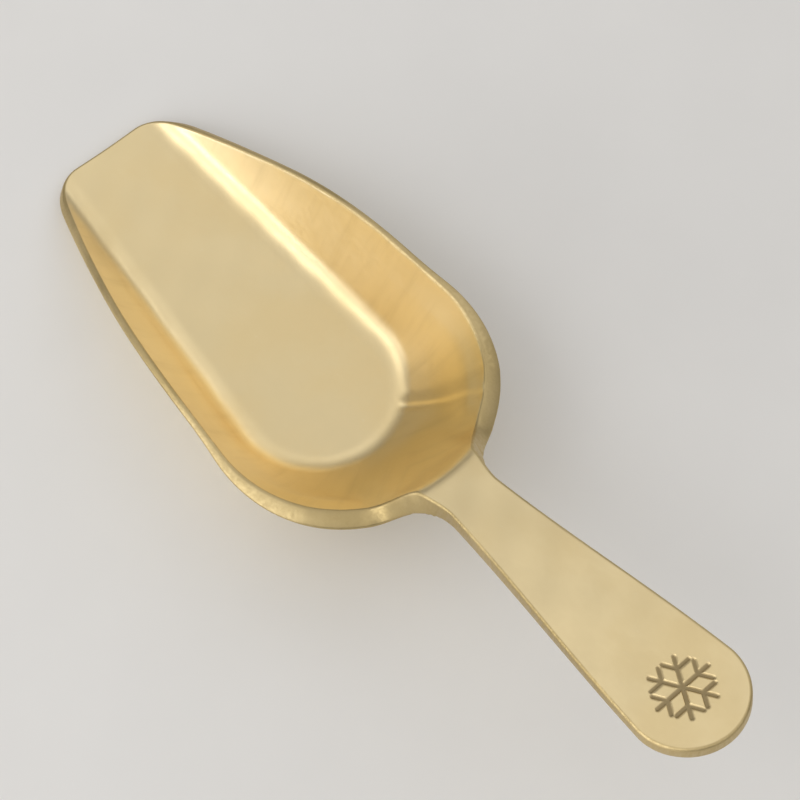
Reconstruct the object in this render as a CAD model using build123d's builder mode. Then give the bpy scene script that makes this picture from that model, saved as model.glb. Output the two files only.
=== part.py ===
from build123d import *
import os
from math import atan, cos, radians, sin, tan

# One-piece brass scoop, millimetres.
# X runs along the scoop, from the handle's end (-X) to the mouth (+X); Z is up.
# The scoop rests on the flat underside of its floor, at Z = 0.

# ---- driving dimensions -------------------------------------------------
total_length = 116.6

floor_thickness = 1.8
wall_back_gauge = 2.8           # level thickness of the back wall
wall_side_gauge = 1.3           # level thickness of the side walls
floor_back_grow = 0.1           # the underside's round back end is this much larger
floor_back_shift = 0.3          # and sits this much further back

floor_centre_x = 12.2           # centre of the floor's round back end
floor_radius = 11.9             # floor corner, before the bend
mouth_half_width = 8.2
mouth_corner_half_width = 10.9  # over both rims, where the mouth's corners start
mouth_corner_round = 4.0
loft_height = 30.0              # the walls are drawn to here, then trimmed
rim_level = 16.5                # height of the widest wall section
rim_centre_x = 7.2
rim_radius = 18.6
top_centre_x = 7.0
top_radius = 20.6               # walls at loft_height
inner_bend = 4.5                # bend between floor and wall, inside
outer_bend = 5.5                # the same bend, underneath

rim_mouth_z = 1.9               # rim above the rest plane, at the mouth
rim_mouth_slope = 20.0          # degrees, from the mouth back
rim_back_slope = 5.0            # degrees, behind the knee
rim_knee_x = 36.0               # where the rim starts to level out
rim_knee_radius = 78.0
rim_back_x = -4.0               # behind this the rim turns across the scoop
neck_fillet_y = 10.4            # where the rim starts to climb to the handle
neck_fillet_radius = 6.0
neck_fillet_turn = 75.0         # degrees
neck_climb = 6.0                # straight run above that bend

handle_thickness = 2.1          # at the round end
neck_thickness = 3.4            # at its root, inside the bowl's back wall
handle_rise = 18.9              # degrees
handle_tip_z = 37.6             # top of the handle at its end
handle_end_radius = 7.2
handle_edge_round = 0.5
neck_x = -17.5
neck_half_width = 3.7
root_x = -8.0
root_half_width = 4.4
neck_bend = 2.0                 # inside bend, back wall to handle

engraving_depth = 0.2
engraving_span = 7.6
engraving_line = 0.5
engraving_from_tip = 7.6
branch_length = 1.7
branch_at = 2.3
arms = 6
branch_angle = 60.0             # degrees, each branch from its arm
first_arm_angle = 90.0          # degrees, across the handle

over = 1.0                      # how far cutting shapes run past the metal
thin = 0.1                      # width of a sketch shape that only anchors a hull
nearly_flat = 0.9               # a broad face's share of the handle's own upright direction
clear_x = 60.0                  # a distance beyond the metal, both ways
clear_z = 60.0
clear_y = 40.0

# ---- derived values -----------------------------------------------------
mouth_x = total_length / 2
tip_x = -total_length / 2

side_lean = atan((rim_radius - floor_radius) / (rim_level - floor_thickness))
outer_step = wall_side_gauge - floor_thickness * tan(side_lean)
outer_floor_radius = floor_radius + outer_step + floor_back_grow
outer_floor_centre_x = floor_centre_x - floor_back_shift
outer_mouth_half_width = mouth_half_width + outer_step
back_shift = wall_back_gauge - wall_side_gauge

mouth_taper = 0.9               # wall sections' half width at the mouth, as a share of their radius
wall_sections = [(rim_level, rim_centre_x, rim_radius), (loft_height, top_centre_x, top_radius)]

mouth_slope = radians(rim_mouth_slope)
back_slope = radians(rim_back_slope)
knee_z = rim_mouth_z + (mouth_x - rim_knee_x) * tan(mouth_slope)
level_x = rim_knee_x - rim_knee_radius * (sin(mouth_slope) - sin(back_slope))
level_z = knee_z + rim_knee_radius * (cos(back_slope) - cos(mouth_slope))
rim_back_z = level_z + (level_x - rim_back_x) * tan(back_slope)

rise = radians(handle_rise)
tip_setback = handle_thickness * sin(rise) - handle_edge_round * (cos(rise) + sin(rise) - 1)
handle_plane = Plane(
    origin=(tip_x + tip_setback, 0, handle_tip_z),
    x_dir=(cos(rise), 0, -sin(rise)),
    z_dir=(sin(rise), 0, cos(rise)),
)
slope_axis = Axis(handle_plane.origin, handle_plane.z_dir)
neck_s = (neck_x - tip_x) / cos(rise)      # distances down the handle's slope
root_s = (root_x - tip_x) / cos(rise)
rim_back_s = (rim_back_x - tip_x) / cos(rise)


# ---- the hollow of the bowl: inner faces of floor and walls ---------------
with BuildPart() as hollow:
    with BuildSketch(Plane.XY.offset(floor_thickness)):
        with Locations((floor_centre_x, 0)):
            Circle(floor_radius)
        with Locations((mouth_x + over, 0)):
            Rectangle(2 * over, 2 * mouth_half_width)
        make_hull()
    for level, centre_x, radius in wall_sections:
        with BuildSketch(Plane.XY.offset(level)):
            with Locations((centre_x, 0)):
                Circle(radius)
            with Locations((mouth_x + over, 0)):
                Rectangle(2 * over, 2 * radius * mouth_taper)
            make_hull()
    loft()
    floor_edges = hollow.edges().group_by(Axis.Z)[0]
    fillet(floor_edges.sort_by(Axis.X)[:-1], inner_bend)

# ---- the handle: a flat bar with a round end, narrowest at the neck --------
with BuildPart() as handle_bar:
    with BuildSketch(handle_plane):
        with Locations((handle_end_radius, 0)):
            Circle(handle_end_radius)
        with Locations((neck_s, 0)):
            Rectangle(thin, 2 * neck_half_width)
        make_hull()
        with BuildLine():
            Polyline(
                (neck_s, -neck_half_width),
                (neck_s, neck_half_width),
                (root_s, root_half_width),
                (root_s, -root_half_width),
                close=True,
            )
        make_face()
    extrude(amount=-neck_thickness)
    # the underside draws closer to the top towards the round end
    with BuildSketch(Plane(handle_plane.origin, x_dir=handle_plane.x_dir, z_dir=(0, -1, 0))):
        with BuildLine():
            Polyline(
                (0, -handle_thickness),
                (root_s + over, -neck_thickness),
                (root_s + over, -neck_thickness - over),
                (-over, -neck_thickness - over),
                (-over, -handle_thickness),
                close=True,
            )
        make_face()
    extrude(amount=clear_y, both=True, mode=Mode.SUBTRACT)
    upright = handle_plane.z_dir
    broad_faces = handle_bar.faces().filter_by(lambda face: abs(face.normal_at().dot(upright)) > nearly_flat)
    fillet(broad_faces.edges().sort_by(Axis.X)[:-2], handle_edge_round)

# ---- the scoop ------------------------------------------------------------
with BuildPart() as scoop_body:
    # outer faces of the bowl
    with BuildSketch(Plane.XY):
        with Locations((outer_floor_centre_x, 0)):
            Circle(outer_floor_radius)
        with Locations((mouth_x - over, 0)):
            Rectangle(2 * over, 2 * outer_mouth_half_width)
        make_hull()
    for level, centre_x, radius in wall_sections:
        with BuildSketch(Plane.XY.offset(level)):
            with Locations((centre_x - back_shift, 0)):
                Circle(radius + wall_side_gauge)
            with Locations((mouth_x - over, 0)):
                Rectangle(2 * over, 2 * (radius + wall_side_gauge) * mouth_taper)
            make_hull()
    loft()
    under_edges = scoop_body.edges().group_by(Axis.Z)[0]
    fillet(under_edges.sort_by(Axis.X)[:-1], outer_bend)

    # the rim seen from the side: straight up from the mouth, a knee, then nearly level
    with BuildSketch(Plane.XZ):
        with BuildLine():
            mouth_run = Line((mouth_x + over, rim_mouth_z - over * tan(mouth_slope)), (rim_knee_x, knee_z))
            knee = JernArc(mouth_run @ 1, mouth_run % 1, rim_knee_radius, rim_mouth_slope - rim_back_slope)
            back_run = Line(knee @ 1, (rim_back_x, rim_back_z))
            Polyline(
                back_run @ 1,
                (rim_back_x, clear_z),
                (mouth_x + over, clear_z),
                mouth_run @ 0,
            )
        make_face()
    extrude(amount=clear_y, both=True, mode=Mode.SUBTRACT)

    # the rim seen from behind: level, then up to the handle's root on both sides
    with BuildSketch(Plane.YZ.offset(rim_back_x)):
        with BuildLine():
            level_run = Line((clear_y, rim_back_z), (neck_fillet_y, rim_back_z))
            climb = JernArc(level_run @ 1, level_run % 1, neck_fillet_radius, -neck_fillet_turn)
            steep = Line(climb @ 1, climb @ 1 + (climb % 1) * neck_climb)
            Polyline(steep @ 1, ((steep @ 1).X, clear_z), (clear_y, clear_z), level_run @ 0)
        make_face()
        mirror(about=Plane.YZ)
    extrude(amount=-clear_x, mode=Mode.SUBTRACT)

    # nothing of the back wall stands above the handle's top face
    with BuildSketch(handle_plane):
        Rectangle(2 * rim_back_s, 2 * clear_y)
    extrude(amount=clear_z, mode=Mode.SUBTRACT)

    add(handle_bar.part)
    add(hollow.part, mode=Mode.SUBTRACT)

    # the two mouth corners, rounded in plan
    with BuildSketch(Plane.XY):
        with Locations((mouth_x, 0)):
            Rectangle(2 * mouth_corner_round, clear_y)
        with Locations((mouth_x - clear_x / 2, 0)):
            RectangleRounded(clear_x, 2 * mouth_corner_half_width, mouth_corner_round, mode=Mode.SUBTRACT)
    extrude(amount=clear_z, mode=Mode.SUBTRACT)

    # the bend from the back wall's inside into the handle's top face
    neck_top = scoop_body.faces().filter_by(slope_axis).sort_by(Axis.Z)[-1]
    across = neck_top.edges().filter_by_position(Axis.X, neck_x + over, rim_back_x)
    fillet(across.sort_by(SortBy.LENGTH)[-1], neck_bend)

    # the snowflake cut into the handle's top face
    with BuildSketch(handle_plane):
        with Locations((engraving_from_tip, 0)):
            with PolarLocations(0, arms, start_angle=first_arm_angle):
                with Locations((engraving_span / 4, 0)):
                    Rectangle(engraving_span / 2, engraving_line)
                with Locations((branch_at, 0)):
                    for side_angle in (branch_angle, -branch_angle):
                        with Locations(Location((0, 0), side_angle)):
                            with Locations((branch_length / 2, 0)):
                                Rectangle(branch_length, engraving_line)
    extrude(amount=-engraving_depth, mode=Mode.SUBTRACT)

scoop_body.part.label = "scoop_body"
os.makedirs("parts", exist_ok=True)
export_step(scoop_body.part, "parts/scoop_body.step")
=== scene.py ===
"""Looks for the brass scoop: one body of satin brass with worked edges, a pale floor and soft light."""

from math import cos, pi, radians, sin, tan

import bmesh
import bpy
import numpy as np
from mathutils import Matrix, Vector


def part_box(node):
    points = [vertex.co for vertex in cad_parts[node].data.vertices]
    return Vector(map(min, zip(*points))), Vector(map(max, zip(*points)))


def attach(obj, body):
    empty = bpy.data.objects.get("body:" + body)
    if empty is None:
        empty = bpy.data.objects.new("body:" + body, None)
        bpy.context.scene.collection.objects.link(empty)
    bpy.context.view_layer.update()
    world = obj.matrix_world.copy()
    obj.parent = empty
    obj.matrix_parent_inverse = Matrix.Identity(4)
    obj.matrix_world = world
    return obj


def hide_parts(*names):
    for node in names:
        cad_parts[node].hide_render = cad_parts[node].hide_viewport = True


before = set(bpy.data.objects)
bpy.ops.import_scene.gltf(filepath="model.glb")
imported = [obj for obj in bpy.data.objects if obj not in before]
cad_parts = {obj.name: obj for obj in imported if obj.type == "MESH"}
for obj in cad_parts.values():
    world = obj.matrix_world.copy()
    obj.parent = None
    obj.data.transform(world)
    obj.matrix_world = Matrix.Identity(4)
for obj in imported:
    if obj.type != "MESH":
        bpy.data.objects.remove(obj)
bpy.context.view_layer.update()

MM = 0.001  # the shape below is worked out in millimetres
low, high = (np.array(corner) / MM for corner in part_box("scoop_body"))
mouth_x = high[0] - 0.1  # the rounded edge stands proud of this by the same amount
tip_x = low[0]

# ---- the bowl: level sections, each a circle joined to the mouth by straight sides ----
floor_z = 1.8
section_levels = (floor_z, 16.5, 30.0)
section_centres = (12.2, 7.2, 7.0)
section_radii = (11.9, 18.6, 20.6)
section_mouths = (8.2, 16.7, 18.5)  # half widths at the mouth
deepest_level = -8.0
hull_margin = 1.0  # the straight sides run to this far past the mouth
floor_bend = 4.5

# ---- the rim, seen from the side and from behind ----
mouth_rim_z = 1.9
mouth_slope = radians(20.0)
back_slope = radians(5.0)
knee_x = 36.0
knee_radius = 78.0
turn_x = -4.0
climb_y = 10.4
climb_radius = 6.0
climb_turn = radians(75.0)
corner_round = 4.6
corner_drop = 4.6
corner_pull = 0.6
side_crowding = 1.25  # above 1, points on the side lie closer together at the back
foot_marks_x = (-4.0, 7.0, 20.0, 46.0, 54.0)  # rim points, and the feet of their rows on the centre line
foot_places_x = (-0.6, 3.5, 9.0, 20.0, 44.0, 49.0, 51.0, 52.0)

# ---- the handle ----
rise = radians(18.9)
handle_inset = 0.6  # its top face ends this far inside the box
handle_corner_above_box = 0.10
handle_end_radius = 7.2
handle_waist = 0.35  # 0 for straight sides, 1 for sides that leave both ends level
neck_x = -17.5
neck_half_width = 3.7
neck_softness = 0.6
under_softness = 1.6
neck_shift = 0.9
neck_gauge = 3.3
bend_offsets = (-1.8, -1.2, -0.6, 0.0, 0.6, 1.2, 1.8)  # where the bend is averaged, in softnesses
bend_reach = 2.5  # also in softnesses
bend_ends_x = (-8.0, -2.0)
bend_ends_y = (4.5, 9.0)
bend_clearance = 3.0  # beyond the neck by this much there is only the handle
side_lift = 0.5  # how fast the handle's plane rises clear of the bowl's sides
flare_points = 34

# ---- thicknesses, square to the sheet ----
side_gauge = 1.1
back_gauge = 2.5
handle_gauge = 2.05
edge_round = 0.42
wall_gauge_run = (-3.0, 5.0)  # level distance from the floor's corner over which its gauge gives way
side_gauge_x = (-8.0, 14.0)
handle_taper_x = -50.0
handle_joins_x = (-16.0, -10.0)
handle_joins_y = (5.0, 9.0)
slope_step = 0.03

# ---- the lip that turns outward round the back of the rim ----
lip_height = 1.3
lip_from_edge = 1.9
lip_width = 2.0
lip_softness = 0.8
lip_fades_x = (-2.0, 22.0)
lip_starts_y = (6.5, 11.0)

# ---- the snowflake cut in the handle ----
flake_from_tip = 7.6
flake_radius = 3.8
flake_line = 0.25
flake_edge = 0.1
far_away = 9.0
flake_depth = 0.2
branch_at = 2.3
branch_length = 1.7

# ---- marks of handwork on the walls ----
crease_angle = 35.0  # degrees from the handle's direction, to the right
crease_bend = -0.2  # degrees for every millimetre outward
crease_depth = 0.26
crease_width = 0.48
ridge_height = 0.6  # raised metal beside the crease, as a share of its depth
ridge_at = 1.8  # in crease widths
ridge_spread = 2.5
fold_angle = 42.5
fold_width = 2.5 * crease_width
fold_depth = 0.16
unevenness = 0.035
fade_in_x = 4.0
fade_in_outward = 2.5
floor_bend_radius = 11.0
leaning_range = (0.10, 0.45)  # how far the surface leans before it counts as wall

# ---- brass: clean, warm, honey for the painted shade on the back wall, pale for random flecks and the painted highlight on the side walls, a dull tone for the dark streaks up the walls and the painted shade on the edge faces, dark ----
brass_tones = (
    (0.90, 0.74, 0.43, 1.0),
    (0.86, 0.68, 0.36, 1.0),
    (0.80, 0.60, 0.23, 1.0),
    (0.93, 0.80, 0.55, 1.0),
    (0.52, 0.40, 0.19, 1.0),
    (0.22, 0.16, 0.08, 1.0),
)
relief_depth = 0.012 * MM
# painted shade: how far the back wall is turned to the darker honey tone
back_wall_painted_shade = 0.6
# painted highlight: how far the side walls are turned pale
side_wall_painted_highlight = 0.55
dark_in_cuts = 0.75

# ---- grain of the brass: how often each pattern repeats in a metre along X, Y and Z ----
brushed_grain = (260.0, 5200.0, 5200.0)
mottle_grain = (70.0, 70.0, 70.0)
fine_grain = (900.0, 1500.0, 1500.0)
filed_grain = (2600.0, 2600.0, 300.0)
streak_grain = (0.42, 0.05, 1.0)  # in a millimetre, round the rim and up the sheet

# ---- light ----
sky = (  # height of a direction, from the horizon at 0 to overhead at 1, and its brightness
    (0.0, 0.22),
    (0.34, 0.28),
    (0.57, 0.55),
    (0.72, 0.98),
    (0.84, 0.88),
    (0.92, 0.54),
    (0.97, 0.72),
    (1.0, 0.82),
)
sky_tint = (1.0, 0.985, 0.97)
panels = (  # name, direction, width and height in metres, brightness
    ("left_panel", (0.20, 0.66, 0.72), (0.80, 0.30), 1.2),
    ("low_left_panel", (0.15, 0.95, 0.27), (0.95, 0.22), 2.7),
    ("right_panel", (0.20, -0.86, 0.46), (0.50, 0.20), 0.8),
)
panel_distance = 0.7

table_gap = 0.02 * MM  # keeps the table's face off the scoop's flat underside

table_size = 6.0  # metres
table_grain = (35.0, 35.0, 35.0)
table_tones = ((0.76, 0.75, 0.73, 1.0), (0.82, 0.81, 0.79, 1.0))

# ---- camera, in metres ----
camera_lens = 81.0
camera_forward = (0.24108, -0.27314, -0.93128)
camera_up = (0.72361, -0.58889, 0.36003)
camera_target = (0.003074, -0.00754, 0.0018)
camera_distance = 0.24187

# ---- mesh density ----
columns = 66
edge_steps = 4
halvings = 22  # steps in the search for the wall's height
end_points = 56
fine_step = 0.15
back_points = 16
side_points = 110
corner_points = 17
mouth_points = 15
row_samples = 260
merge_distance = 0.004 * MM


def through_levels(values):
    """A smooth function of height that takes these values at the three section levels."""
    curve = np.polyfit(section_levels, values, 2)
    return lambda z: np.polyval(curve, z)


centre_at = through_levels(section_centres)
radius_at = through_levels(section_radii)
mouth_at = through_levels(section_mouths)


def smooth(x, start, end):
    """0 before start, 1 after end, and a soft step between them."""
    t = np.clip((x - start) / (end - start), 0.0, 1.0)
    return t * t * (3.0 - 2.0 * t)


def side_angle(z):
    """How far the straight side's normal turns from +Y towards the mouth, at height z."""
    reach = mouth_x + hull_margin - centre_at(z)
    diagonal = np.hypot(reach, mouth_at(z))
    return np.arctan2(reach, mouth_at(z)) - np.arccos(radius_at(z) / diagonal)


def outside(x, y, z):
    """Level distance of (x, y) outside the section at height z; negative inside."""
    along = x - centre_at(z)
    turn = side_angle(z)
    to_side = along * np.sin(turn) + y * np.cos(turn)
    to_circle = np.hypot(along, y)
    return np.where(np.arctan2(along, y) > turn, to_side, to_circle) - radius_at(z)


def wall_height(x, y):
    """Height at which the leaning wall passes over (x, y)."""
    bottom = np.full(np.shape(x), deepest_level)
    top = np.full(np.shape(x), section_levels[-1])
    for _ in range(halvings):
        middle = (bottom + top) / 2
        beyond = outside(x, y, middle) > 0
        bottom = np.where(beyond, middle, bottom)
        top = np.where(beyond, top, middle)
    return (bottom + top) / 2


def bowl_height(x, y):
    """The floor, the rounded bend and the wall, inside."""
    steepness = 1.0 / (outside(x, y, floor_z) - outside(x, y, floor_z + 1.0))
    run = (wall_height(x, y) - floor_z) / steepness
    lean = np.arctan(steepness)
    tangent = floor_bend * np.tan(lean / 2)
    arc_run = np.clip(run + tangent, 0.0, 0.999 * floor_bend)
    bend = floor_bend - np.sqrt(floor_bend**2 - arc_run**2)
    rise_above = np.where(run > tangent * np.cos(lean), run * steepness, bend)
    return floor_z + np.where(run < -tangent, 0.0, rise_above)


def handle_height(x):
    """The handle's top plane, lifted clear of the bowl's side walls."""
    corner_z = high[2] + handle_corner_above_box
    plane = corner_z - tan(rise) * (x - tip_x - handle_inset)
    return plane + side_lift * np.maximum(0.0, x - turn_x)


def soft_minimum(a, b, reach):
    """The smaller of two heights, rounded where they come within reach of each other."""
    near = np.maximum(reach - np.abs(a - b), 0.0)
    return np.minimum(a, b) - near**2 / (4.0 * reach)


def sheet_height(x, y, softness):
    """Height of the bowl and handle in one sheet, with the bend at the neck softened."""
    offsets = softness * np.array(bend_offsets)
    shares = np.exp(-0.5 * (offsets / softness) ** 2)
    shares /= shares.sum()
    bent = 0.0
    for offset, share in zip(offsets, shares):
        bowl = bowl_height(x + offset - neck_shift, y)
        bent = bent + share * soft_minimum(bowl, handle_height(x + offset), bend_reach * softness)
    at_neck = (1.0 - smooth(x, *bend_ends_x)) * (1.0 - smooth(y, *bend_ends_y))
    bowl = np.minimum(bowl_height(x, y), handle_height(x))
    sheet = at_neck * bent + (1.0 - at_neck) * bowl
    return np.where(x < neck_x - bend_clearance, handle_height(x), sheet)


def lip(x, y):
    """Extra height just inside the rim, so that the metal above it turns outward; only round the back."""
    from_edge = -outside(x, y, rim_height(np.maximum(x, turn_x)))
    beyond = from_edge - lip_from_edge
    ramp = (np.sqrt(beyond**2 + lip_softness**2) - beyond) / 2
    hill = np.exp(-((np.maximum(beyond, 0.0) / lip_width) ** 2)) - ramp / lip_from_edge
    round_back = (1.0 - smooth(x, *lip_fades_x)) * smooth(y, *lip_starts_y)
    return lip_height * round_back * np.maximum(hill, 0.0)


def top_height(x, y):
    """Height of the finished upper surface, before the engraving."""
    return sheet_height(x, y, neck_softness) + lip(x, y)


def under_height(x, y):
    """The softer surface that the underside is measured from."""
    return sheet_height(x, y, under_softness)


def rim_height(x):
    """The rim seen from the side: rising from the mouth, a soft knee, then nearly level."""
    knee_z = mouth_rim_z + (mouth_x - knee_x) * tan(mouth_slope)
    level_x = knee_x - knee_radius * (sin(mouth_slope) - sin(back_slope))
    level_z = knee_z + knee_radius * (cos(back_slope) - cos(mouth_slope))
    turn = np.clip(sin(mouth_slope) - (knee_x - x) / knee_radius, 0.0, 1.0)
    knee = knee_z + knee_radius * (np.sqrt(1.0 - turn**2) - cos(mouth_slope))
    back = level_z + (level_x - x) * tan(back_slope)
    front = mouth_rim_z + (mouth_x - x) * tan(mouth_slope)
    return np.where(x > knee_x, front, np.where(x > level_x, knee, back))


def section_half_width(x, z):
    """Half width of the section at height z, at x."""
    along = x - centre_at(z)
    turn = side_angle(z)
    on_side = (radius_at(z) - along * np.sin(turn)) / np.cos(turn)
    on_circle = np.sqrt(np.maximum(radius_at(z) ** 2 - along**2, 0.0))
    return np.where(along > radius_at(z) * np.sin(turn), on_side, on_circle)


def handle_outline():
    """Half the handle's outline, from the middle of its end to the neck.

    Gives x, y and, for every point, the x of its row's foot on the centre line.
    """
    angle = np.linspace(0.0, 1.0, end_points) * pi / 2
    round_s = handle_end_radius * (1.0 - np.cos(angle))
    round_y = handle_end_radius * np.sin(angle)
    neck_s = (neck_x - tip_x - handle_inset) / cos(rise)
    fine_s = np.arange(handle_end_radius + fine_step, flake_from_tip + flake_radius + 0.8, fine_step)
    coarse_s = np.linspace(fine_s[-1] + 0.5, neck_s, 44)
    straight_s = np.concatenate((fine_s, coarse_s))
    share = smooth(straight_s, handle_end_radius, neck_s) * handle_waist
    share += (1.0 - handle_waist) * (straight_s - handle_end_radius) / (neck_s - handle_end_radius)
    straight_y = handle_end_radius + (neck_half_width - handle_end_radius) * share
    s = np.concatenate((round_s, straight_s))
    foot_s = np.maximum(s, flake_from_tip)
    start = tip_x + handle_inset
    return start + s * cos(rise), np.concatenate((round_y, straight_y)), start + foot_s * cos(rise)


def neck_outline():
    """From the neck along the root and up the flare to the level rim."""
    turn = np.linspace(climb_turn, 0.0, flare_points)
    flare_y = climb_y - climb_radius * np.sin(turn)
    flare_z = rim_height(turn_x) + climb_radius * (1.0 - np.cos(turn))
    flare_x = centre_at(flare_z) - np.sqrt(radius_at(flare_z) ** 2 - flare_y**2)
    root_run = np.linspace(neck_x + 0.5, flare_x[0] - 0.6, 9)
    root_y = neck_half_width + (flare_y[0] - neck_half_width) * smooth(root_run, neck_x, flare_x[0] + 1.0)
    x = np.concatenate((root_run, flare_x))
    y = np.concatenate((root_y, flare_y))
    foot = np.concatenate((root_run, np.linspace(flare_x[0] - 0.2, -1.0, flare_points)))
    return x, y, foot


def mouth_corner(last_x, last_y):
    """A soft corner that leaves the side in its own direction and ends square to the mouth."""
    t = np.linspace(0.0, 1.0, corner_points + 1)[1:]
    run = mouth_x - last_x[1]
    slope = (last_y[1] - last_y[0]) / (last_x[1] - last_x[0])
    end_y = last_y[1] - corner_drop
    first = (last_x[1] + corner_pull * run, last_y[1] + corner_pull * run * slope)
    second = (mouth_x, end_y + corner_drop / 2)
    shares = ((1 - t) ** 3, 3 * t * (1 - t) ** 2, 3 * t**2 * (1 - t), t**3)
    x = shares[0] * last_x[1] + shares[1] * first[0] + shares[2] * second[0] + shares[3] * mouth_x
    y = shares[0] * last_y[1] + shares[1] * first[1] + shares[2] * second[1] + shares[3] * end_y
    return x, y


def rim_outline():
    """The level rim round the back, the side down to the mouth, the round corner and the mouth's edge."""
    back_z = rim_height(turn_x)
    back_end = np.arccos((centre_at(back_z) - turn_x) / radius_at(back_z))
    back_start = np.arcsin(climb_y / radius_at(back_z))
    angle = np.linspace(back_start, back_end, back_points)[1:]
    back_x = centre_at(back_z) - radius_at(back_z) * np.cos(angle)
    back_y = radius_at(back_z) * np.sin(angle)
    side_start = turn_x + 0.25
    along = np.linspace(0.0, 1.0, side_points) ** side_crowding
    side_x = side_start + (mouth_x - corner_round - side_start) * along
    side_y = section_half_width(side_x, rim_height(side_x))
    corner_x, corner_y = mouth_corner(side_x[-2:], side_y[-2:])
    edge_y = np.linspace(corner_y[-1], 0.0, mouth_points + 1)[1:]
    x = np.concatenate((back_x, side_x, corner_x, np.full(mouth_points, mouth_x)))
    y = np.concatenate((back_y, side_y, corner_y, edge_y))
    travelled = np.concatenate(((0.0,), np.cumsum(np.hypot(np.diff(x), np.diff(y)))))
    before_corner = len(back_x) + side_points
    marks = np.interp(foot_marks_x, x[:before_corner], travelled[:before_corner])
    at = np.concatenate(((0.0,), marks, (travelled[-mouth_points - 1], travelled[-1])))
    foot = np.interp(travelled, at, foot_places_x)
    return x, y, foot


def half_outline():
    parts = handle_outline(), neck_outline(), rim_outline()
    return tuple(np.concatenate(pieces) for pieces in zip(*parts))


def row_points(rim_x, rim_y, foot_x):
    """Plan points of every row, evenly spaced along the metal from the centre line to the rounded edge."""
    share = np.repeat(np.linspace(0.0, 1.0, row_samples)[None, :], len(rim_x), axis=0)
    x = foot_x[:, None] + (rim_x - foot_x)[:, None] * share
    y = rim_y[:, None] * share
    z = top_height(x, y)
    step = np.sqrt(np.diff(x) ** 2 + np.diff(y) ** 2 + np.diff(z) ** 2)
    travelled = np.concatenate((np.zeros((len(x), 1)), np.cumsum(step, axis=1)), axis=1)
    even = np.linspace(0.0, 1.0, columns)
    length = travelled[:, -1:] - edge_round
    rows = zip(length[:, 0], travelled, share)
    picked = np.array([np.interp(even * end, row, row_share) for end, row, row_share in rows])
    plan_x = foot_x[:, None] + (rim_x - foot_x)[:, None] * picked
    return plan_x, rim_y[:, None] * picked, length * even[None, :]


def gauge(x, y):
    """Thickness of the metal under (x, y)."""
    up_the_wall = smooth(outside(x, y, floor_z), *wall_gauge_run)
    wall = back_gauge + (side_gauge - back_gauge) * smooth(x, *side_gauge_x)
    bowl = floor_z + (wall - floor_z) * up_the_wall
    handle = handle_gauge + (neck_gauge - handle_gauge) * smooth(x, handle_taper_x, neck_x)
    at_handle = (1.0 - smooth(x, *handle_joins_x)) * (1.0 - smooth(y, *handle_joins_y))
    return bowl + (handle - bowl) * at_handle


def segment_distance(x, y, angle, start, length):
    """Distance from a straight cut that leaves start at this angle."""
    dx, dy = x - start[0], y - start[1]
    along = np.clip(dx * cos(angle) + dy * sin(angle), 0.0, length)
    return np.hypot(dx - along * cos(angle), dy - along * sin(angle))


def flake_cut(x, y):
    """Depth of the snowflake at (x, y)."""
    s = (x - tip_x - handle_inset) / cos(rise) - flake_from_tip
    nearest = np.full(np.shape(x), far_away)
    for arm in range(6):
        angle = pi / 2 + arm * pi / 3
        joint = (branch_at * cos(angle), branch_at * sin(angle))
        nearest = np.minimum(nearest, segment_distance(s, y, angle, (0.0, 0.0), flake_radius))
        for side in (-1, 1):
            branch = segment_distance(s, y, angle + side * pi / 3, joint, branch_length)
            nearest = np.minimum(nearest, branch)
    return flake_depth * (1.0 - smooth(nearest, flake_line - flake_edge, flake_line + flake_edge))


def surface_normals(height, x, y):
    step = slope_step
    slope_x = (height(x + step, y) - height(x - step, y)) / (2 * step)
    slope_y = (height(x, y + step) - height(x, np.abs(y - step))) / (y + step - np.abs(y - step))
    slope_y = np.where(y < step, 0.0, slope_y)
    normal = np.stack((-slope_x, -slope_y, np.ones_like(x)), axis=-1)
    return normal / np.linalg.norm(normal, axis=-1, keepdims=True)


def edge_rings(top, under, outward):
    """The edge face with its two rounded corners, from the end of the top surface to the underside's."""
    across = top - under
    thick = np.linalg.norm(across, axis=-1, keepdims=True)
    across /= thick
    size = np.minimum(edge_round, 0.46 * thick)
    turns = np.linspace(0.0, pi / 2, edge_steps + 1)[1:]
    upper = [top + size * (outward * sin(a) - across * (1.0 - cos(a))) for a in turns]
    lower = [under + size * (outward * sin(a) + across * (1.0 - cos(a))) for a in turns]
    return np.stack(upper + lower[::-1], axis=1)


def along_row(values, on_edge):
    """Values for a whole row: the upper surface's, one for the edge face, and the same again underneath."""
    edge = np.broadcast_to(on_edge, (len(values), 1))
    return np.concatenate((values, np.repeat(edge, 2 * edge_steps, axis=1), values[:, ::-1]), axis=1)


def ring_travel(points):
    """Distance round the rim."""
    step = np.linalg.norm(np.diff(points, axis=0), axis=1)
    return np.concatenate(((0.0,), np.cumsum(step)))


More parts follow.
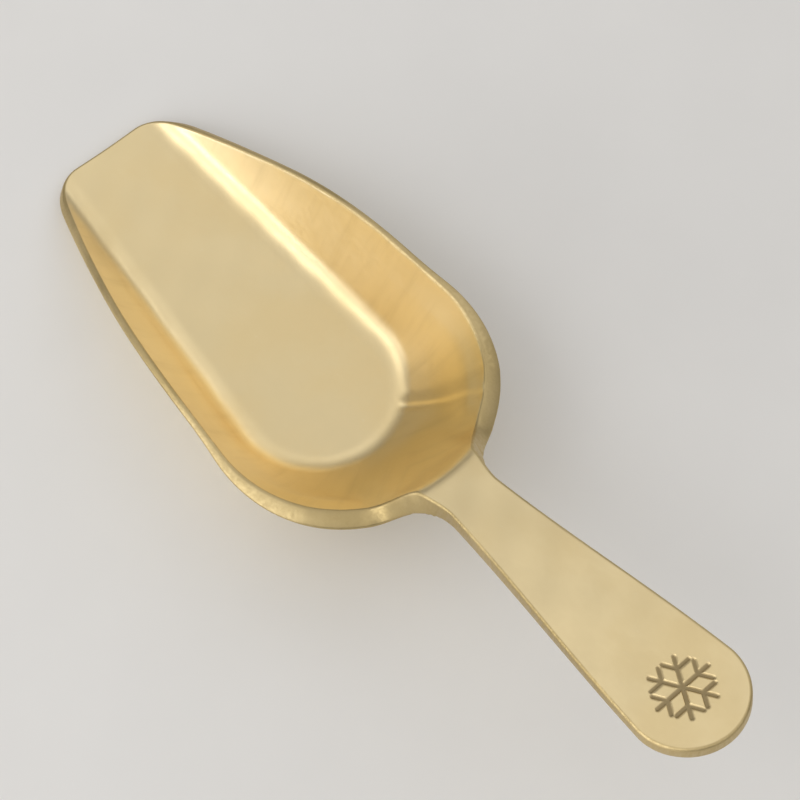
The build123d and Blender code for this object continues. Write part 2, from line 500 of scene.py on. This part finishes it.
def half_body():
    """Rows of points right round half the body: up the top surface, over the edge and back underneath."""
    rim_x, rim_y, foot_x = half_outline()
    x, y, travelled = row_points(rim_x, rim_y, foot_x)
    normal = surface_normals(top_height, x, y)
    top = np.stack((x, y, top_height(x, y)), axis=-1)
    under = np.stack((x, y, under_height(x, y)), axis=-1)
    under -= surface_normals(under_height, x, y) * gauge(x, y)[..., None]
    under[..., 2] = np.maximum(under[..., 2], 0.0)
    ring = np.gradient(top[:, -1], axis=0)
    ring[0] = (0.0, 1.0, 0.0)
    ring[-1] = (0.0, -1.0, 0.0)
    outward = np.cross(normal[:, -1], ring)
    outward /= np.linalg.norm(outward, axis=-1, keepdims=True)
    edge = edge_rings(top[:, -1], under[:, -1], outward)
    top[..., 2] -= flake_cut(x, y)
    under[:, 0, 1] = 0.0
    leaning = smooth(1.0 - normal[..., 2], *leaning_range)
    at_back = smooth(-x, -9.0, 1.0) * smooth(x, -20.0, -10.0)
    points = np.concatenate((top, edge, under[:, ::-1]), axis=1)
    return points, {
        # edge steers the filing of the edge faces and also their painted shade
        "edge": along_row(0.0 * x, 1.0),
        "up_sheet": along_row(travelled, travelled[:, -1:]),
        "around": np.repeat(ring_travel(top[:, -1])[:, None], points.shape[1], axis=1),
        "wall": along_row(leaning, 0.3),
        # back_wall and side_wall steer only the painted shade on the back wall and the painted highlight on
        # the side walls
        "back_wall": along_row(leaning * at_back, 0.0),
        "side_wall": along_row(leaning * smooth(x, -4.0, 9.0), 0.0),
        "cut": np.pad(flake_cut(x, y) / flake_depth, ((0, 0), (0, points.shape[1] - columns))),
    }


def dents(x, y):
    """The crease and the softer fold across the right back wall, and the walls' slight unevenness."""
    angle = np.degrees(np.arctan2(-y, section_centres[0] - x))
    radius = np.hypot(x - section_centres[0], y)
    outward = radius - floor_bend_radius
    from_crease = np.radians(angle - crease_angle - crease_bend * outward) * radius / crease_width
    from_fold = np.radians(angle - fold_angle) * radius / fold_width
    ridge = ridge_height * np.exp(-((from_crease - ridge_at) ** 2) / ridge_spread)
    folds = crease_depth * (np.exp(-(from_crease**2)) - ridge)
    folds = folds + fold_depth * np.exp(-(from_fold**2))
    long_waves = np.sin(0.42 * x + 1.3) * np.sin(0.55 * y + 0.4)
    short_waves = 0.6 * np.sin(0.9 * x + 0.7 * y + 2.0)
    behind = smooth(section_centres[0] - x, 0.0, fade_in_x)
    above_bend = smooth(outward, 0.0, fade_in_outward)
    return above_bend * (folds * behind + unevenness * (long_waves + short_waves))


def whole_ring(half, flip=False):
    """Both halves as one closed ring of rows."""
    other = half[-2:0:-1].copy()
    if flip:
        other[..., 1] *= -1
    return np.concatenate((half, other))


def brass_body():
    """The scoop's body as one closed mesh, with the marks that its material reads."""
    points, marks = half_body()
    points = whole_ring(points, flip=True)
    points[:, :columns, 2] -= dents(points[:, :columns, 0], points[:, :columns, 1])
    rows, per_row = points.shape[:2]
    index = np.arange(rows * per_row).reshape(rows, per_row)
    after = np.roll(index, -1, axis=0)
    quads = np.stack((index[:, :-1], after[:, :-1], after[:, 1:], index[:, 1:]), axis=-1).reshape(-1, 4)
    mesh = bpy.data.meshes.new("brass_body")
    mesh.from_pydata((points.reshape(-1, 3) * MM).tolist(), [], quads.tolist())
    for name, half in marks.items():
        layer = mesh.attributes.new(name, "FLOAT", "POINT")
        layer.data.foreach_set("value", whole_ring(half).reshape(-1).astype(np.float32))
    build = bmesh.new()
    build.from_mesh(mesh)
    bmesh.ops.remove_doubles(build, verts=build.verts, dist=merge_distance)
    bmesh.ops.recalc_face_normals(build, faces=build.faces)
    build.to_mesh(mesh)
    build.free()
    mesh.shade_smooth()
    body = bpy.data.objects.new("brass_body", mesh)
    bpy.context.scene.collection.objects.link(body)
    return body


class Nodes:
    """A short way to write a material's node tree."""

    def __init__(self, material):
        material.use_nodes = True
        self.tree = material.node_tree
        self.shader = self.tree.nodes["Principled BSDF"]

    def plug(self, node, name, value):
        if isinstance(value, bpy.types.NodeSocket):
            self.tree.links.new(value, node.inputs[name])
        else:
            node.inputs[name].default_value = value

    def mark(self, name):
        """A number stored on the mesh."""
        node = self.tree.nodes.new("ShaderNodeAttribute")
        node.attribute_name = name
        return node.outputs["Fac"]

    def noise(self, place, stretch, detail=3.0, roughness=0.55):
        mapping = self.tree.nodes.new("ShaderNodeMapping")
        self.plug(mapping, "Vector", place)
        self.plug(mapping, "Scale", stretch)
        node = self.tree.nodes.new("ShaderNodeTexNoise")
        self.plug(node, "Vector", mapping.outputs["Vector"])
        self.plug(node, "Scale", 1.0)
        self.plug(node, "Detail", detail)
        self.plug(node, "Roughness", roughness)
        return node.outputs["Fac"]

    def step(self, value, start, end, low=0.0, high=1.0):
        node = self.tree.nodes.new("ShaderNodeMapRange")
        node.interpolation_type = "SMOOTHSTEP"
        names = ("Value", "From Min", "From Max", "To Min", "To Max")
        for name, given in zip(names, (value, start, end, low, high)):
            self.plug(node, name, given)
        return node.outputs["Result"]

    def math(self, operation, first, second):
        node = self.tree.nodes.new("ShaderNodeMath")
        node.operation = operation
        self.plug(node, 0, first)
        self.plug(node, 1, second)
        return node.outputs["Value"]

    def mix(self, share, first, second):
        node = self.tree.nodes.new("ShaderNodeMix")
        node.data_type = "RGBA"
        sockets = [socket for socket in node.inputs if socket.enabled]
        for socket, value in zip(sockets, (share, first, second)):
            if isinstance(value, bpy.types.NodeSocket):
                self.tree.links.new(value, socket)
            else:
                socket.default_value = value
        return next(socket for socket in node.outputs if socket.enabled)

    def sum(self, *terms):
        total = terms[0]
        for term in terms[1:]:
            total = self.math("ADD", total, term)
        return total


def brass_colour(nodes, mottle, streaks, fine):
    """Clean brass, warmer in patches, with painted shade on the back wall, a painted highlight on the side
    walls, faint dark streaks up the walls and painted shade on the edge faces.
    """
    clean, warm, honey_painted_shade, pale, streak_and_edge_shade, dark = brass_tones
    colour = nodes.mix(nodes.step(mottle, 0.42, 0.68, 0.0, 0.50), clean, warm)
    # painted shade: the back wall turns to the darker honey tone, standing in for its darker reflections
    colour = nodes.mix(nodes.math("MULTIPLY", nodes.mark("back_wall"), back_wall_painted_shade), colour, honey_painted_shade)
    # painted highlight: the side walls turn pale, standing in for their brighter reflections
    colour = nodes.mix(nodes.math("MULTIPLY", nodes.mark("side_wall"), side_wall_painted_highlight), colour, pale)
    colour = nodes.mix(nodes.step(fine, 0.60, 0.78, 0.0, 0.30), colour, pale)
    on_wall = nodes.math("MULTIPLY", nodes.step(streaks, 0.45, 0.78, 0.0, 0.20), nodes.mark("wall"))
    # faint dark streaks up the walls, in the same dull tone as the painted edge shade
    colour = nodes.mix(on_wall, colour, streak_and_edge_shade)
    # painted shade on the edge faces, patchy with the mottle
    edge_painted_shade = nodes.math("MULTIPLY", nodes.step(mottle, 0.35, 0.65, 1.0, 0.65), nodes.mark("edge"))
    colour = nodes.mix(edge_painted_shade, colour, streak_and_edge_shade)
    return nodes.mix(nodes.math("MULTIPLY", nodes.mark("cut"), dark_in_cuts), colour, dark)


def brass_material():
    """Satin brass: brushed along the scoop, mottled, streaked up the walls and filed at the edges."""
    material = bpy.data.materials.new("satin_brass")
    nodes = Nodes(material)
    place = nodes.tree.nodes.new("ShaderNodeTexCoord").outputs["Object"]
    sheet = nodes.tree.nodes.new("ShaderNodeCombineXYZ")
    nodes.plug(sheet, "X", nodes.mark("around"))
    nodes.plug(sheet, "Y", nodes.mark("up_sheet"))
    brushed = nodes.noise(place, brushed_grain)
    mottle = nodes.noise(place, mottle_grain, detail=5.0)
    fine = nodes.noise(place, fine_grain, detail=4.0, roughness=0.7)
    streaks = nodes.noise(sheet.outputs["Vector"], streak_grain, detail=3.0, roughness=0.55)
    edge = nodes.mark("edge")
    filed = nodes.noise(place, filed_grain, detail=2.0)
    nodes.plug(nodes.shader, "Metallic", 1.0)
    nodes.plug(nodes.shader, "Base Color", brass_colour(nodes, mottle, streaks, fine))
    rough = nodes.sum(
        nodes.step(mottle, 0.3, 0.7, 0.31, 0.39),
        nodes.step(fine, 0.3, 0.7, -0.02, 0.04),
        nodes.math("MULTIPLY", edge, nodes.step(filed, 0.3, 0.7, 0.0, 0.18)),
        nodes.math("MULTIPLY", nodes.mark("cut"), 0.12),
    )
    nodes.plug(nodes.shader, "Roughness", rough)
    relief = nodes.sum(
        nodes.math("MULTIPLY", brushed, 0.35),
        nodes.math("MULTIPLY", fine, 0.5),
        nodes.math("MULTIPLY", nodes.math("MULTIPLY", filed, edge), 2.5),
        nodes.math("MULTIPLY", nodes.math("MULTIPLY", streaks, nodes.mark("wall")), 2.0),
    )
    bump = nodes.tree.nodes.new("ShaderNodeBump")
    nodes.plug(bump, "Strength", 0.6)
    nodes.plug(bump, "Distance", relief_depth)
    nodes.plug(bump, "Height", relief)
    nodes.plug(nodes.shader, "Normal", bump.outputs["Normal"])
    return material


def floor_plane():
    """A plain pale table."""
    mesh = bpy.data.meshes.new("table")
    half = table_size / 2
    corners = [(x, y, -table_gap) for x, y in ((-half, -half), (half, -half), (half, half), (-half, half))]
    mesh.from_pydata(corners, [], [(0, 1, 2, 3)])
    table = bpy.data.objects.new("table", mesh)
    bpy.context.scene.collection.objects.link(table)
    material = bpy.data.materials.new("pale_floor")
    nodes = Nodes(material)
    place = nodes.tree.nodes.new("ShaderNodeTexCoord").outputs["Object"]
    grain = nodes.noise(place, table_grain, detail=4.0)
    nodes.plug(nodes.shader, "Base Color", nodes.mix(grain, *table_tones))
    nodes.plug(nodes.shader, "Roughness", 0.75)
    table.data.materials.append(material)


def studio_world():
    """A soft surround: dim at the horizon, brightest halfway up, calmer overhead."""
    world = bpy.data.worlds.new("studio")
    world.use_nodes = True
    tree = world.node_tree
    place = tree.nodes.new("ShaderNodeTexCoord")
    split = tree.nodes.new("ShaderNodeSeparateXYZ")
    ramp = tree.nodes.new("ShaderNodeValToRGB")
    ramp.color_ramp.interpolation = "EASE"
    stops = ramp.color_ramp.elements
    while len(stops) < len(sky):
        stops.new(0.5)
    for stop, (height, brightness) in zip(stops, sky):
        stop.position = height
        stop.color = (*(brightness * tint for tint in sky_tint), 1.0)
    tree.links.new(place.outputs["Generated"], split.inputs["Vector"])
    tree.links.new(split.outputs["Z"], ramp.inputs["Fac"])
    tree.links.new(ramp.outputs["Color"], tree.nodes["Background"].inputs["Color"])
    bpy.context.scene.world = world


def softbox(name, direction, size, brightness):
    """A rectangular panel that faces the scoop; brightness is what a mirror would show of it."""
    data = bpy.data.lights.new(name, "AREA")
    data.shape = "RECTANGLE"
    data.size, data.size_y = size
    data.energy = brightness * pi * size[0] * size[1]
    light = bpy.data.objects.new(name, data)
    towards = Vector(direction).normalized()
    light.location = towards * panel_distance
    light.rotation_euler = towards.to_track_quat("Z", "Y").to_euler()
    bpy.context.scene.collection.objects.link(light)


def lights():
    """The surround and the panels, shown without a filmic curve."""
    bpy.context.scene.view_settings.view_transform = "Standard"
    studio_world()
    for panel in panels:
        softbox(*panel)


def camera():
    """Looks steeply down on the scoop from the handle's side."""
    data = bpy.data.cameras.new("camera")
    data.lens = camera_lens
    data.sensor_width = 36.0
    cam = bpy.data.objects.new("camera", data)
    forward = Vector(camera_forward).normalized()
    up = Vector(camera_up).normalized()
    right = forward.cross(up).normalized()
    up = right.cross(forward)
    turn = Matrix((right, up, -forward)).transposed()
    place = Vector(camera_target) - forward * camera_distance
    cam.matrix_world = Matrix.Translation(place) @ turn.to_4x4()
    bpy.context.scene.collection.objects.link(cam)
    bpy.context.scene.camera = cam


body = brass_body()
body.data.materials.append(brass_material())
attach(body, "root")
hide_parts("scoop_body")
floor_plane()
lights()
camera()
